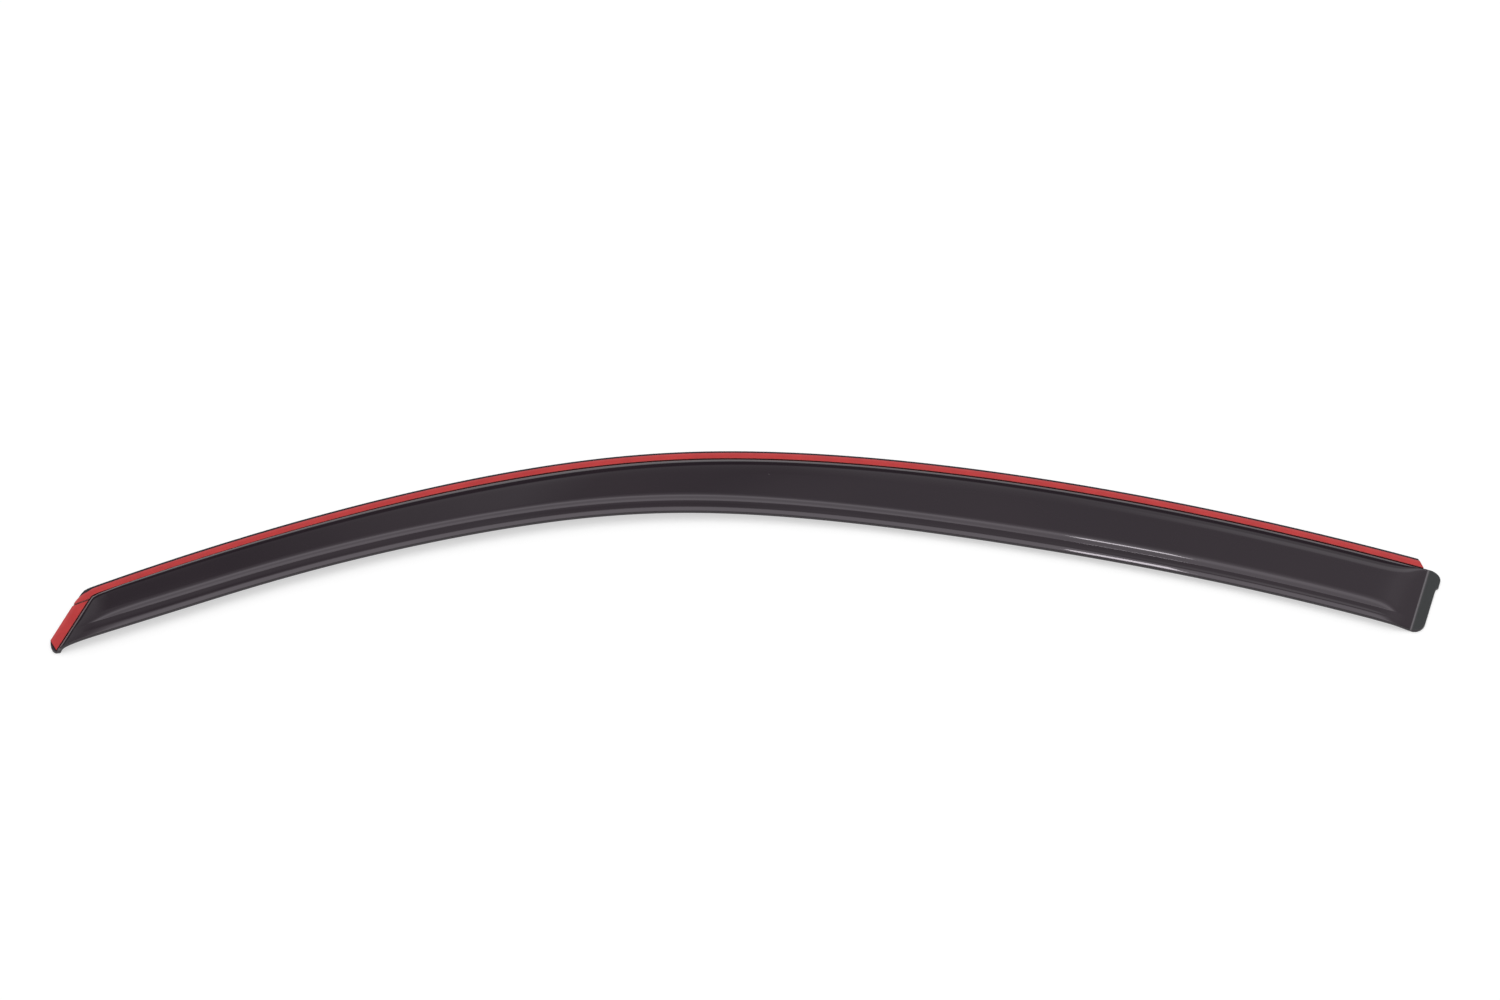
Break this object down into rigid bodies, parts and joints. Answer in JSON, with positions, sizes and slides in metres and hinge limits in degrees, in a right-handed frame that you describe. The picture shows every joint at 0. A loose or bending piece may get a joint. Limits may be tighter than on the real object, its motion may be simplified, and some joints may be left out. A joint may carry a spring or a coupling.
{
  "type": "window rain deflector",
  "caption": "Long curved visor of smoke-tinted sheet with a stepped flange, a rolled lower edge and bonding tape, fixed above a car's side window to shed rain and let in air.",
  "frame": {"origin": "middle of the bounding box in X and Y, on the plane of the flanges' backs in Z", "axes": "+X along the visor to the rear of the car, +Y towards the roof edge, +Z out from the glass; the part is the left-hand one"},
  "size_m": [0.9756, 0.1898, 0.0124],
  "materials": {
    "smoke_acrylic": "polished smoke-tinted acrylic, satin on the end flange",
    "foam_tape": "matt dark red closed-cell foam",
    "release_liner": "satin red release film"
  },
  "bodies": {
    "root": {"deflector_shell": "smoke_acrylic", "top_tape": "foam_tape", "front_tape": "foam_tape", "top_liner": "release_liner", "front_liner": "release_liner"}
  },
  "joints": []
}
